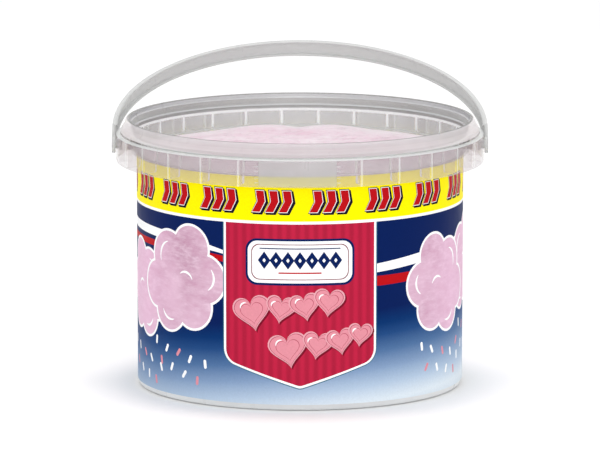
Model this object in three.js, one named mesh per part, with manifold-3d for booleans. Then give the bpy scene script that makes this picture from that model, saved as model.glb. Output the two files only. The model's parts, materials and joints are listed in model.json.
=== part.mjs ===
// Round plastic tub of cotton candy: a thin-walled pail with a ribbed collar, a printed
// wrap label, a bail handle on two pivots, and the spun sugar inside.
// Millimetres, +Z up. The origin is the middle of the flat base; the front is at -Y.

import * as THREE from 'three';
import { mergeVertices } from 'three/addons/utils/BufferGeometryUtils.js';
import Module from 'manifold-3d';

const wasm = await Module();
wasm.setup();

// ---------------------------------------------------------------- driving dimensions

const height = 163.7;              // table to the crest of the rim
const sides = 84;                  // facets round the tub, three for each rib pitch

const wallThickness = 1.35;
const floorThickness = 1.6;
const footRadius = 98.95;          // outside of the wall just above the base corner
const shoulderRadius = 99.35;      // outside of the wall just under the step
const cornerRadius = 4;
const grooveRadius = 88;           // ring groove under the base
const grooveWidth = 4;
const grooveDepth = 0.8;

const collarWallRadius = 103.4;    // outside of the wall above the step
const stepBottomDrop = 20.8;       // drops are measured down from the crest
const stepTopDrop = 20.4;
const crestRadius = 105.3;
const crestHalfWidth = 1;
const flangeRadius = 109.3;
const flangeDrop = 6;
const deckDrop = 9.2;
const deckThickness = 1.2;
const lipDrop = 2.3;
const sealDrop = 6.5;

const skirtRadius = 112.4;
const skirtThickness = 1.2;
const skirtHeight = 16.6;
const skirtRound = 0.8;

const ribCount = 28;
const ribThickness = 1.3;
const ribLift = 1.5;               // rib's lower edge above the skirt's lower edge
const ribChamfer = 0.8;

const tabStart = -12.7;            // tear-off panel, degrees from the front
const tabEnd = 10.9;
const tabThickness = 0.7;

const labelTop = 142.6;
const labelBottom = 3.7;
const labelThickness = 0.35;
const labelSeam = 1;               // half of the open seam at the back, degrees
const gap = 0.3;                   // between separate pieces that touch

const candyLevel = 144;
const candySides = 42;
const candyRings = 9;
const candyHumps = [               // place and height of the soft waves on top
  { x: -18, y: 87, radius: 20, rise: 2.0 },
  { x: 28, y: 85, radius: 18, rise: 2.4 },
  { x: 5, y: 93, radius: 9, rise: -1.2 },
  { x: -22, y: -34, radius: 40, rise: 1.2 },
  { x: 40, y: -12, radius: 36, rise: 1.1 },
  { x: -62, y: 20, radius: 34, rise: 0.7 },
  { x: 8, y: -78, radius: 28, rise: -0.9 },
];
const candyEdgeFall = 0.6;         // the mass sinks a little towards the wall

const pivotHeight = 147.4;
const handleLean = 71;             // degrees the raised handle lies back from upright
const handleOuterRadius = 115.1;
const handleDepth = 3.1;           // outside of the web to the edges of the flanges
const handleWidth = 10;
const handleWeb = 1.2;
const handleFlange = 1.2;
const handleLeg = 15.5;            // straight run from the pivot to the arch
const handleSteps = 60;
const eyeRadius = 5.5;
const eyeThickness = 2.2;
const eyeReach = 18;
const pinRadius = 2.7;
const pinHeadRadius = 3.9;
const pinHeadThickness = 1.7;
const pinHeadGap = 0.6;
const pinSides = 32;

// ---------------------------------------------------------------- helpers

const degrees = THREE.MathUtils.degToRad;

// Closed solid from a three.js geometry whose seams still have doubled vertices.
function solid(geometry) {
  const bare = geometry.clone();
  bare.deleteAttribute('normal');
  bare.deleteAttribute('uv');
  const merged = mergeVertices(bare, 1e-4);
  const index = merged.index.array;
  const kept = [];
  for (let i = 0; i < index.length; i += 3) {
    const [a, b, c] = [index[i], index[i + 1], index[i + 2]];
    if (a !== b && b !== c && a !== c) {
      kept.push(a, b, c);
    }
  }
  return new wasm.Manifold(new wasm.Mesh({
    numProp: 3,
    vertProperties: new Float32Array(merged.attributes.position.array),
    triVerts: new Uint32Array(kept),
  }));
}

function geometryOf(manifold) {
  const mesh = manifold.getMesh();
  const geometry = new THREE.BufferGeometry();
  geometry.setAttribute('position', new THREE.BufferAttribute(new Float32Array(mesh.vertProperties), 3));
  geometry.setIndex(new THREE.BufferAttribute(new Uint32Array(mesh.triVerts), 1));
  return geometry;
}

// Points of a round corner in a profile; angles in degrees from the outward direction.
function corner(radius, z, round, from, to, count) {
  const points = [];
  for (let i = 0; i <= count; i += 1) {
    const angle = degrees(from + (to - from) * i / count);
    points.push([radius + round * Math.cos(angle), z + round * Math.sin(angle)]);
  }
  return points;
}

// Turns an [radius, z] profile about the Z axis; the first facet edge faces the front.
function revolve(profile, facets) {
  const points = profile.map(([radius, z]) => new THREE.Vector2(radius, z));
  const geometry = new THREE.LatheGeometry(points, facets);
  geometry.rotateX(Math.PI / 2);
  return geometry;
}

// Ring sector between two radii, from one angle to another in degrees from the front.
function ringSector(inner, outer, from, to, bottom, top, facets) {
  const outline = [];
  for (let i = 0; i <= facets; i += 1) {
    const angle = degrees(from + (to - from) * i / facets - 90);
    outline.push(new THREE.Vector2(outer * Math.cos(angle), outer * Math.sin(angle)));
  }
  for (let i = facets; i >= 0; i -= 1) {
    const angle = degrees(from + (to - from) * i / facets - 90);
    outline.push(new THREE.Vector2(inner * Math.cos(angle), inner * Math.sin(angle)));
  }
  const options = { depth: top - bottom, bevelEnabled: false };
  const geometry = new THREE.ExtrudeGeometry(new THREE.Shape(outline), options);
  geometry.translate(0, 0, bottom);
  return geometry;
}

// Outside radius of the plain wall at a height.
function wallRadius(z) {
  const span = height - stepBottomDrop - cornerRadius;
  return footRadius + (shoulderRadius - footRadius) * (z - cornerRadius) / span;
}

// ---------------------------------------------------------------- tub

const skirtBottom = height - deckDrop - skirtHeight;
const deckTop = height - deckDrop;
const deckUnderside = deckTop - deckThickness;
const skirtInside = skirtRadius - skirtThickness;
const collarInside = collarWallRadius - 1.3;
const stepRise = 1.1;              // the inner face of the step lies this much higher

function tubProfile() {
  const innerCorner = cornerRadius - 1;
  const wallInside = shoulderRadius - wallThickness;
  const footInside = footRadius - wallThickness;
  return [
    [0, 0],
    [grooveRadius - grooveWidth, 0],
    [grooveRadius - grooveWidth + grooveDepth, grooveDepth],
    [grooveRadius - grooveDepth, grooveDepth],
    [grooveRadius, 0],
    ...corner(footRadius - cornerRadius, cornerRadius, cornerRadius, -90, 0, 4),
    [shoulderRadius, height - stepBottomDrop],
    [collarWallRadius, height - stepTopDrop],
    [collarWallRadius, deckUnderside],
    [skirtInside, deckUnderside],
    [skirtInside, skirtBottom + 0.5],
    [skirtInside + 0.4, skirtBottom],
    ...corner(skirtRadius - skirtRound, skirtBottom + skirtRound, skirtRound, -90, 0, 2),
    ...corner(skirtRadius - skirtRound, deckTop - skirtRound, skirtRound, 0, 90, 2),
    [flangeRadius + 0.5, deckTop + 0.1],
    [flangeRadius, height - flangeDrop],
    [crestRadius + crestHalfWidth, height - 0.7],
    [crestRadius, height],
    [crestRadius - crestHalfWidth, height - 0.5],
    [crestRadius - crestHalfWidth - 0.2, height - lipDrop],
    [collarInside + 1.1, height - lipDrop - 0.7],
    [collarInside + 0.7, height - sealDrop],
    [collarInside, height - sealDrop - 0.7],
    [collarInside, height - stepTopDrop + stepRise],
    [wallInside, height - stepBottomDrop + stepRise],
    ...corner(footInside - innerCorner, floorThickness + innerCorner, innerCorner, 0, -90, 4),
    [0, floorThickness],
  ];
}

// Gusset plate between the collar wall and the skirt, drawn as [radius, z].
function rib(angle) {
  const top = deckUnderside + 0.4;
  const bottom = skirtBottom + ribLift;
  const inside = collarWallRadius - 0.5;
  const outside = skirtInside + 0.5;
  const outline = [
    [inside, top],
    [inside, bottom + ribChamfer],
    [inside + ribChamfer, bottom],
    [outside, bottom],
    [outside, top],
  ];
  const shape = new THREE.Shape(outline.map(([radius, z]) => new THREE.Vector2(radius, z)));
  const plate = new THREE.ExtrudeGeometry(shape, { depth: ribThickness, bevelEnabled: false });
  plate.translate(0, 0, -ribThickness / 2);
  plate.rotateX(Math.PI / 2);
  plate.rotateZ(angle);
  return solid(plate);
}

// Radial cylinder on the pivot line, from one x to another.
function pivotCylinder(radius, from, to) {
  const cylinder = new THREE.CylinderGeometry(radius, radius, Math.abs(to - from), pinSides);
  cylinder.rotateZ(Math.PI / 2);
  cylinder.translate((from + to) / 2, 0, 0);
  return cylinder;
}

function tub() {
  let body = solid(revolve(tubProfile(), sides));
  const pitch = 360 / ribCount;
  for (let k = 0; k < ribCount; k += 1) {
    const fromFront = (k + 0.5) * pitch - 180;
    if (fromFront < tabStart || fromFront > tabEnd) {
      body = body.add(rib(degrees(fromFront - 90)));
    }
  }
  const inside = skirtRadius - 0.6;
  const outside = skirtRadius + tabThickness;
  const from = skirtBottom + skirtRound;
  const to = deckTop - skirtRound;
  const panel = ringSector(inside, outside, tabStart, tabEnd, from, to, 6);
  body = body.add(solid(panel));
  for (const side of [-1, 1]) {
    const hole = pivotCylinder(pinRadius + gap, side * (skirtInside - 3), side * (skirtRadius + 3));
    hole.translate(0, 0, pivotHeight);
    body = body.subtract(solid(hole));
  }
  return geometryOf(body);
}

// ---------------------------------------------------------------- label

function label() {
  const from = -180 + labelSeam;
  const to = 180 - labelSeam;
  const inner = footRadius + gap;
  const geometry = ringSector(inner, inner + labelThickness, from, to, labelBottom, labelTop, sides);
  const position = geometry.attributes.position;
  for (let i = 0; i < position.count; i += 1) {
    const [x, y, z] = [position.getX(i), position.getY(i), position.getZ(i)];
    const scale = 1 + (wallRadius(z) - footRadius) / Math.hypot(x, y);
    position.setXY(i, x * scale, y * scale);
  }
  return geometryOf(solid(geometry));
}

// ---------------------------------------------------------------- cotton candy

function candyTop(x, y, reach) {
  let z = candyLevel;
  for (const hump of candyHumps) {
    const distance = Math.hypot(x - hump.x, y - hump.y) / hump.radius;
    z += hump.rise * Math.exp(-distance * distance);
  }
  const edge = THREE.MathUtils.smoothstep(Math.hypot(x, y) / reach, 0.7, 1);
  return z - candyEdgeFall * edge;
}

function cottonCandy() {
  const topRadius = shoulderRadius - wallThickness - gap;
  const footInside = footRadius - wallThickness - gap;
  const round = cornerRadius;
  const profile = [
    [0, floorThickness + gap],
    ...corner(footInside - round, floorThickness + gap + round, round, -90, 0, 3),
  ];
  for (let ring = candyRings; ring >= 0; ring -= 1) {
    profile.push([topRadius * ring / candyRings, height]);
  }
  const geometry = revolve(profile, candySides);
  const position = geometry.attributes.position;
  for (let i = 0; i < position.count; i += 1) {
    if (position.getZ(i) > height - 1) {
      position.setZ(i, candyTop(position.getX(i), position.getY(i), topRadius));
    }
  }
  return geometryOf(solid(geometry));
}

// ---------------------------------------------------------------- handle

// The handle is drawn upright with its pivot line on the X axis.
function handleArch() {
  const middle = handleOuterRadius - handleDepth / 2;
  const curve = new THREE.CurvePath();
  const points = [];
  for (let i = 0; i <= handleSteps; i += 1) {
    const angle = Math.PI - Math.PI * i / handleSteps;
    points.push(new THREE.Vector3(middle * Math.cos(angle), 0, handleLeg + middle * Math.sin(angle)));
  }
  for (let i = 0; i < handleSteps; i += 1) {
    curve.add(new THREE.LineCurve3(points[i], points[i + 1]));
  }
  const half = handleWidth / 2;
  const depth = handleDepth / 2;
  const section = new THREE.Shape([
    new THREE.Vector2(-half, -depth),
    new THREE.Vector2(half, -depth),
    new THREE.Vector2(half, depth),
    new THREE.Vector2(half - handleFlange, depth),
    new THREE.Vector2(half - handleFlange, handleWeb - depth),
    new THREE.Vector2(handleFlange - half, handleWeb - depth),
    new THREE.Vector2(handleFlange - half, depth),
    new THREE.Vector2(-half, depth),
  ]);
  const options = { steps: handleSteps, bevelEnabled: false, extrudePath: curve };
  return new THREE.ExtrudeGeometry(section, options);
}

// Flat eye round the pivot that runs up into the arch.
function handleEye(side) {
  const half = handleWidth / 2;
  const outline = new THREE.Shape();
  const meet = Math.acos(half / eyeRadius);
  outline.moveTo(half, eyeReach);
  outline.lineTo(-half, eyeReach);
  outline.lineTo(-half, eyeRadius * Math.sin(meet));
  outline.absarc(0, 0, eyeRadius, Math.PI - meet, 2 * Math.PI + meet, false);
  outline.closePath();
  const options = { depth: eyeThickness, bevelEnabled: false, curveSegments: 24 };
  const plate = new THREE.ExtrudeGeometry(outline, options);
  plate.rotateX(Math.PI / 2);
  plate.rotateZ(Math.PI / 2);
  const inside = handleOuterRadius - eyeThickness;
  plate.translate(side > 0 ? inside : -handleOuterRadius, 0, 0);
  return solid(plate);
}

function handle() {
  let body = solid(handleArch());
  const plateInside = handleOuterRadius - eyeThickness;
  const headOutside = skirtInside - pinHeadGap;
  const headInside = headOutside - pinHeadThickness;
  for (const side of [-1, 1]) {
    body = body.add(handleEye(side));
    body = body.add(solid(pivotCylinder(pinRadius, side * (headInside + 0.5), side * (plateInside + 0.5))));
    body = body.add(solid(pivotCylinder(pinHeadRadius, side * headInside, side * headOutside)));
  }
  return geometryOf(body);
}

// ---------------------------------------------------------------- scene graph

const milkyPlastic = new THREE.MeshStandardMaterial({
  color: 0xe6e7e6,
  roughness: 0.3,
  metalness: 0,
  transparent: true,
  opacity: 0.55,
});
const printedFilm = new THREE.MeshStandardMaterial({ color: 0x12265c, roughness: 0.35, metalness: 0 });
const spunSugar = new THREE.MeshStandardMaterial({ color: 0xf0cadd, roughness: 0.95, metalness: 0 });

function part(name, geometry, material) {
  const mesh = new THREE.Mesh(geometry, material);
  mesh.name = name;
  return mesh;
}

const pail = new THREE.Group();
pail.add(part('tub', tub(), milkyPlastic));
pail.add(part('label', label(), printedFilm));
pail.add(part('cotton_candy', cottonCandy(), spunSugar));

const bail = part('handle', handle(), milkyPlastic);
bail.position.set(0, 0, pivotHeight);
bail.rotation.x = -degrees(handleLean);
pail.add(bail);

export default pail;
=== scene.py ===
import json
import math
import random

import bmesh
import bpy
from bpy.props import FloatProperty, FloatVectorProperty, IntProperty, PointerProperty
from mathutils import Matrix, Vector, noise
from mathutils.geometry import delaunay_2d_cdt, interpolate_bezier


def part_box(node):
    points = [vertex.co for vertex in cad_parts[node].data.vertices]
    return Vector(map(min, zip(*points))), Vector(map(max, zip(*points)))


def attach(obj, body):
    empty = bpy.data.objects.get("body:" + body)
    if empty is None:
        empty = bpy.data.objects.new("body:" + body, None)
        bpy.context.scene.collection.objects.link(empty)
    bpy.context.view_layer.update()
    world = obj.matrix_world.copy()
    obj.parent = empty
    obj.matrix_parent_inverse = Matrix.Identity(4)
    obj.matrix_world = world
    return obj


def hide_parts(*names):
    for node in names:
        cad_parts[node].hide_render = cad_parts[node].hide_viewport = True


bl_info = {
    "name": "Cotton Candy Tub",
    "version": (1, 0, 0),
    "blender": (4, 5, 0),
    "location": "View3D > Sidebar > Candy Tub",
    "description": "Makes a milky plastic tub of cotton candy with a printed label and a bail handle",
    "category": "Object",
}

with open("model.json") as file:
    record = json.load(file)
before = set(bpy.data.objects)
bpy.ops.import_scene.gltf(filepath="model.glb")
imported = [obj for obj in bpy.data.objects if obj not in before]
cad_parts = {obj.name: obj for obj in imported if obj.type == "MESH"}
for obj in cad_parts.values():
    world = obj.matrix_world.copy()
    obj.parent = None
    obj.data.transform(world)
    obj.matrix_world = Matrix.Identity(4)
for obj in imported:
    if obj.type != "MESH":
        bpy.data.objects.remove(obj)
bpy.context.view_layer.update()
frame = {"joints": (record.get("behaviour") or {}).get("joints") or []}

MM = 0.001
TUB_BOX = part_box("tub")
LABEL_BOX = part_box("label")
HANDLE_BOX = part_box("handle")
PIVOT = Vector(frame["joints"][0]["pos_m"])
FRONT = -90.0  # the front of the tub faces -Y


# ------------------------------------------------------------------ colours

def shade(code):
    """Linear colour of a six-digit sRGB code."""
    parts = [int(code[i : i + 2], 16) / 255 for i in (0, 2, 4)]
    return tuple(c / 12.92 if c <= 0.04045 else ((c + 0.055) / 1.055) ** 2.4 for c in parts)


def darker(colour, share):
    return tuple(c * share for c in colour)


def colour_prop(name, description, code):
    return FloatVectorProperty(
        name=name, description=description, subtype="COLOR", size=3, min=0, max=1, default=shade(code)
    )


def length_prop(name, description, default):
    return FloatProperty(
        name=name, description=description, default=default, min=0, unit="LENGTH", subtype="DISTANCE"
    )


# ------------------------------------------------------------------ properties

class CandyTubSizes(bpy.types.PropertyGroup):
    """Sizes of the tub, its label, its handle and the filling."""

    height: length_prop("Height", "Table to the crest of the rim", TUB_BOX[1].z)
    skirt_radius: length_prop("Skirt radius", "Outside of the collar's skirt", TUB_BOX[1].x)
    skirt_height: length_prop("Skirt height", "Height of the collar's skirt", 16.6 * MM)
    crest_radius: length_prop("Crest radius", "Radius of the rim's crest", 105.3 * MM)
    flange_radius: length_prop("Flange radius", "Outside of the sloping rim", 109.3 * MM)
    collar_wall_radius: length_prop("Collar wall radius", "Outside of the wall above the step", 103.4 * MM)
    shoulder_radius: length_prop("Shoulder radius", "Outside of the wall under the step", 99.35 * MM)
    foot_radius: length_prop("Foot radius", "Outside of the wall above the base", 98.95 * MM)
    wall: length_prop("Wall", "Thickness of the side wall", 1.35 * MM)
    rib_count: IntProperty(name="Ribs", description="Rib pitches round the collar", default=28, min=4)
    label_top: length_prop("Label top", "Top edge of the label film", LABEL_BOX[1].z)
    label_bottom: length_prop("Label bottom", "Bottom edge of the label film", LABEL_BOX[0].z)
    candy_level: length_prop("Filling level", "Mean height of the spun sugar", 144.0 * MM)
    handle_radius: length_prop("Handle radius", "Outside of the handle's arch", HANDLE_BOX[1].x)
    handle_width: length_prop("Handle width", "Width of the handle's strap", 10 * MM)
    handle_leg: length_prop("Handle leg", "Straight run from the pivot to the arch", 15.5 * MM)
    handle_lean: FloatProperty(
        name="Handle lean", description="How far the raised handle lies back from upright",
        default=math.radians(71), min=0, max=math.pi, unit="ROTATION", subtype="ANGLE",
    )


class CandyTubColours(bpy.types.PropertyGroup):
    """Colours of the plastic, the print and the sugar."""

    milky: colour_prop("Milky plastic", "Thin walls of the tub", "B9BAB9")
    # Dark tone that paints shade into the bands and lines inside the rim and into the crease at its foot.
    painted_shade: colour_prop("Plastic in the bands", "Closed bands in the rim", "6E6F6D")
    # Darker than the outside of the same wall: painted shade on the inside of the collar.
    inner: colour_prop("Inside of the collar", "Wall over the filling", "A7A9AC")
    # Pinkish tint: painted glow of the pink filling through the milky plastic.
    skirt: colour_prop("Skirt", "Outside of the collar", "BAABB0")
    # Whitest tone: denser plastic at thick edges and rib joins, and the painted highlights at the deck's
    # edge and inside the collar.
    edge: colour_prop("Thick edges", "Edges and rib lines, where the plastic is whitest", "F5F9F8")
    # Bright with a pinkish tint: painted highlight, and painted glow of the pink filling.
    rim: colour_prop("Rim", "Sloping rim, which catches the light", "F4EBED")
    base: colour_prop("Base", "Thicker plastic of the base", "E4E6E7")
    handle: colour_prop("Handle", "Web of the handle", "C1C2C1")
    # Lighter than the web: denser plastic at the thick edges, and a painted highlight along them.
    lips: colour_prop("Handle lips", "Edges of the handle, where the plastic is thicker", "CBCCCB")
    yellow: colour_prop("Yellow band", "Band at the top of the label", "FFF000")
    navy: colour_prop("Navy field", "Ground of the label", "061E56")
    white: colour_prop("White lines", "White lines and ribbons", "FBFCFD")
    crimson: colour_prop("Crimson", "Pennant at the front", "BB2242")
    crimson_stripe: colour_prop("Crimson stripe", "Darker stripes in the pennant", "A91E3B")
    scarlet: colour_prop("Scarlet", "Chevrons and the narrow ribbon", "B91119")
    ink: colour_prop("Ink", "Shadows and fine outlines", "161526")
    puff: colour_prop("Puff pink", "Hearts in the pennant", "DF909D")
    puff_line: colour_prop("Puff outline", "Fine line in the hearts", "B04A60")
    cloud: colour_prop("Cloud pink", "Printed clouds at the sides", "C6A0B5")
    sugar: colour_prop("Sugar", "Spun sugar, light threads", "D6C1CB")
    sugar_deep: colour_prop("Sugar, deep", "Spun sugar between the threads", "D1A9BB")


# ------------------------------------------------------------------ node helpers

def node(tree, kind, inputs=None, **options):
    """Adds a shader node. An input is a value, or another node's output socket."""
    made = tree.nodes.new("ShaderNode" + kind)
    for key, value in options.items():
        setattr(made, key, value)
    for key, value in (inputs or {}).items():
        socket = made.inputs[key]
        if isinstance(value, bpy.types.NodeSocket):
            tree.links.new(value, socket)
        elif socket.type == "RGBA":
            socket.default_value = (*value[:3], 1)
        else:
            socket.default_value = value
    return made


def place(tree):
    """Position on the piece, in metres, in the piece's own frame."""
    return node(tree, "TexCoord").outputs["Object"]


def axes(tree):
    """Position on the piece by axis, in metres. Z is the height above the base."""
    return node(tree, "SeparateXYZ", {"Vector": place(tree)}).outputs


def stretched(tree, scale, position=None):
    """Position scaled by axis, for grain that runs one way."""
    inputs = {"Vector": position or place(tree), "Scale": scale}
    return node(tree, "Mapping", inputs).outputs["Vector"]


def wandering(tree, scale, reach, size):
    """Position scaled by axis after slow noise has pushed it about, for grain that swirls."""
    drift = node(tree, "TexNoise", {"Vector": place(tree), "Scale": size, "Detail": 2.0})
    push = {0: drift.outputs["Color"], 1: (reach, reach, 0), 2: place(tree)}
    return stretched(tree, scale, node(tree, "VectorMath", push, operation="MULTIPLY_ADD").outputs[0])


def grain(tree, scale, detail=4.0, roughness=0.55, position=None):
    """Noise value from 0 to 1."""
    inputs = {"Vector": position or place(tree), "Scale": scale, "Detail": detail, "Roughness": roughness}
    return node(tree, "TexNoise", inputs).outputs["Fac"]


def ramp(tree, factor, stops):
    """Colour ramp from [position, colour] stops."""
    made = node(tree, "ValToRGB", {"Fac": factor})
    points = made.color_ramp.elements
    while len(points) < len(stops):
        points.new(0.5)
    for point, (position, colour) in zip(points, stops):
        point.position = position
        point.color = (*colour[:3], 1)
    return made.outputs["Color"]


def spread(tree, value, low, high, to_low=0.0, to_high=1.0):
    """Maps a value from one range to another, without going past it."""
    inputs = {"Value": value, "From Min": low, "From Max": high, "To Min": to_low, "To Max": to_high}
    return node(tree, "MapRange", inputs).outputs["Result"]


def blend_colours(tree, factor, first, second, how="MIX"):
    inputs = {0: factor, 6: first, 7: second}
    return node(tree, "Mix", inputs, data_type="RGBA", blend_type=how).outputs[2]


def maths(tree, how, first, second=0.0):
    return node(tree, "Math", {0: first, 1: second}, operation=how).outputs[0]


def bump(tree, height, strength, distance):
    inputs = {"Height": height, "Strength": strength, "Distance": distance}
    return node(tree, "Bump", inputs).outputs["Normal"]


def finish_material(material, tree, inputs):
    """Adds the surface shader with these inputs and the output."""
    shader = node(tree, "BsdfPrincipled", inputs)
    node(tree, "OutputMaterial", {"Surface": shader.outputs["BSDF"]})
    return material


def new_material(name):
    material = bpy.data.materials.new(name)
    material.use_nodes = True
    material.node_tree.nodes.clear()
    return material, material.node_tree


# ------------------------------------------------------------------ materials

def through_wall(tree, opacity, thickest):
    """Opacity of a wall that is looked through at a slant, so through more of the plastic.

    thickest is how many times the straight thickness counts at most."""
    facing = node(tree, "LayerWeight", {"Blend": 0.5}).outputs["Facing"]
    straight = maths(tree, "MAXIMUM", maths(tree, "SUBTRACT", 1.0, facing), 1 / thickest)
    clear = maths(tree, "SUBTRACT", 1.0, opacity)
    passed = maths(tree, "POWER", clear, maths(tree, "DIVIDE", 1.0, straight))
    return maths(tree, "SUBTRACT", 1.0, passed)


PLASTIC_ROUGHNESS = 0.3


def milky_plastic(name, tone, opacity, thickest=5.0, whiten=None):
    """Moulded polypropylene: cloudy, a little see-through, softly glossy, with faint flow marks.

    whiten is a function of the node tree that gives a mask, and the colour and opacity of thicker
    plastic, whose white lines also carry a painted highlight."""
    material, tree = new_material(name)
    clouds = grain(tree, 35.0, 3.0)
    flow = grain(tree, 90.0, 5.0, 0.6, stretched(tree, (1, 1, 0.15)))
    colour = ramp(tree, clouds, [(0.3, darker(tone, 0.96)), (0.7, tone)])
    alpha = spread(tree, clouds, 0.25, 0.75, opacity - 0.015, opacity + 0.02)
    if whiten:
        mask, white, dense = whiten(tree)
        colour = blend_colours(tree, mask, colour, white)
        alpha = maths(tree, "MAXIMUM", alpha, maths(tree, "MULTIPLY", mask, dense))
    return finish_material(material, tree, {
        "Base Color": colour,
        "Roughness": spread(tree, flow, 0.3, 0.7, PLASTIC_ROUGHNESS - 0.05, PLASTIC_ROUGHNESS + 0.08),
        "IOR": 1.49,
        "Alpha": through_wall(tree, alpha, thickest),
        "Normal": bump(tree, flow, 0.08, 0.0003),
    })


def front_angle(tree):
    """Angle round the tub from the front, in radians."""
    position = axes(tree)
    return maths(tree, "ARCTAN2", position["X"], maths(tree, "MULTIPLY", position["Y"], -1.0))


def rib_lines(sizes, colours, half_width, dense, foot=0.0):
    """White lines where the ribs join the wall, down to a height, but not behind the tear-off panel. They
    stand for the denser plastic at the joins, with a painted highlight of the light along the ribs.
    """
    pitch = 2 * math.pi / sizes.rib_count
    half_line, soft = half_width / sizes.skirt_radius, 0.5 * MM / sizes.skirt_radius
    tab_middle, tab_half = math.radians((TAB_START + TAB_END) / 2), math.radians((TAB_END - TAB_START) / 2)

    def whiten(tree):
        angle = front_angle(tree)
        phase = maths(tree, "FRACT", maths(tree, "DIVIDE", angle, pitch))
        away = maths(tree, "MULTIPLY", maths(tree, "ABSOLUTE", maths(tree, "SUBTRACT", phase, 0.5)), pitch)
        line = spread(tree, away, half_line, half_line + soft, 1.0, 0.0)
        off_tab = maths(tree, "ABSOLUTE", maths(tree, "SUBTRACT", angle, tab_middle))
        beside = maths(tree, "MULTIPLY", line, maths(tree, "GREATER_THAN", off_tab, tab_half))
        above = maths(tree, "GREATER_THAN", axes(tree)["Z"], foot)
        return maths(tree, "MULTIPLY", beside, above), colours.edge, dense

    return whiten


SATIN = 0.42  # roughness of the film


def satin_finish(material, tree, colour):
    """Gives an ink the gloss and the faint waves of the satin film."""
    return finish_material(material, tree, {
        "Base Color": colour,
        "Roughness": spread(tree, grain(tree, 60.0), 0.3, 0.7, SATIN - 0.04, SATIN + 0.06),
        "Specular IOR Level": 0.03,
        "Normal": bump(tree, grain(tree, 140.0, 3.0), 0.05, 0.0003),
    })


def film_print(name, colour):
    """One flat ink on the satin film, with the faint unevenness of print."""
    material, tree = new_material(name)
    fine = grain(tree, 900.0, 2.0)
    return satin_finish(material, tree, ramp(tree, fine, [(0.35, darker(colour, 0.94)), (0.65, colour)]))


def label_ground(colours):
    """Ground of the print: navy that fades out towards the foot, a little lower to one side."""
    material, tree = new_material("label_ground")
    lowest, highest = -10.0, 60.0
    fade = [(0, "E0EAF2"), (10, "B2C6DC"), (20, "839CBE"), (30, "50719D"), (40, "22487E"), (47, "07326A")]
    tones = [(z, shade(code)) for z, code in fade] + [(56, colours.navy)]
    stops = [((z - lowest) / (highest - lowest), tone) for z, tone in tones]
    tilt = maths(tree, "MULTIPLY", maths(tree, "SINE", front_angle(tree)), -9 * MM)
    height = maths(tree, "ADD", axes(tree)["Z"], tilt)
    ground = ramp(tree, spread(tree, height, lowest * MM, highest * MM), stops)
    fine = spread(tree, grain(tree, 900.0, 2.0), 0.35, 0.65, 0.95, 1.0)
    speck = node(tree, "CombineColor", {0: fine, 1: fine, 2: fine}).outputs[0]
    return satin_finish(material, tree, blend_colours(tree, 1.0, ground, speck, "MULTIPLY"))


STRIPE_PITCH = math.radians(3.14)


def pennant_red(colours):
    """Crimson with soft darker stripes that run up the pennant."""
    material, tree = new_material("pennant_crimson")
    wave = maths(tree, "SINE", maths(tree, "MULTIPLY", front_angle(tree), 2 * math.pi / STRIPE_PITCH))
    stripes = spread(tree, wave, -0.8, 0.8)
    return satin_finish(
        material, tree, blend_colours(tree, stripes, colours.crimson_stripe, colours.crimson))


def cloud_pink(colours):
    """Printed clouds with the streaky look of spun sugar, brighter towards the sides."""
    material, tree = new_material("cloud_pink")
    streaks = grain(tree, 100.0, 8.0, 0.7, stretched(tree, (1, 1, 2.8)))
    patches = grain(tree, 26.0, 3.0)
    light, deep = shade("DFC3D4"), shade("B9839F")
    colour = ramp(tree, streaks, [(0.3, deep), (0.5, colours.cloud), (0.7, light)])
    colour = blend_colours(tree, spread(tree, patches, 0.4, 0.66, 0.0, 0.6), colour, shade("E0BBD0"))
    aside = maths(tree, "ABSOLUTE", front_angle(tree))
    colour = blend_colours(tree, spread(tree, aside, 0.8, 1.15, 0.0, 0.6), colour, shade("F0C6E0"))
    return satin_finish(material, tree, colour)


def spun_sugar(colours, name="spun_sugar"):
    """Soft matte sugar fluff with streaks of fine thread."""
    material, tree = new_material(name)
    warp = grain(tree, 18.0, 3.0)
    threads = grain(tree, 170.0, 8.0, 0.7, wandering(tree, (1.0, 0.28, 1.0), 0.16, 9.0))
    cross = grain(tree, 210.0, 8.0, 0.7, wandering(tree, (0.3, 1.0, 1.2), 0.12, 13.0))
    patches = grain(tree, 14.0, 3.0, 0.5)
    streaks = grain(tree, 55.0, 5.0, 0.6, wandering(tree, (0.16, 1.0, 1.0), 0.14, 8.0))
    mixed = maths(tree, "ADD", maths(tree, "MULTIPLY", threads, 0.55), maths(tree, "MULTIPLY", cross, 0.45))
    pale = shade("E2D9DD")
    fibre = ramp(tree, mixed, [(0.36, colours.sugar_deep), (0.5, colours.sugar), (0.66, shade("E4D6DD"))])
    colour = blend_colours(tree, spread(tree, patches, 0.42, 0.66, 0.0, 0.5), fibre, colours.sugar_deep)
    colour = blend_colours(tree, spread(tree, streaks, 0.45, 0.68, 0.0, 0.6), colour, pale)
    flat = node(tree, "VectorMath", {0: place(tree), 1: (1, 1, 0)}, operation="MULTIPLY").outputs[0]
    away = node(tree, "VectorMath", {0: flat}, operation="LENGTH").outputs["Value"]
    colour = blend_colours(tree, spread(tree, away, 0.062, 0.098, 0.0, 0.75), colour, pale)
    height = maths(tree, "ADD", mixed, maths(tree, "MULTIPLY", warp, 0.4))
    return finish_material(material, tree, {
        "Base Color": colour,
        "Roughness": spread(tree, mixed, 0.3, 0.7, 0.85, 1.0),
        "Subsurface Weight": 0.35,
        "Subsurface Radius": (0.006, 0.004, 0.005),
        "Subsurface Scale": 1.0,
        "Specular IOR Level": 0.2,
        "Sheen Weight": 0.35,
        "Sheen Roughness": 0.5,
        "Sheen Tint": (1.0, 0.92, 0.96, 1),
        "Normal": bump(tree, height, 0.55, 0.0012),
    })


# ------------------------------------------------------------------ mesh helpers

CREASE = math.radians(32)


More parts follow.
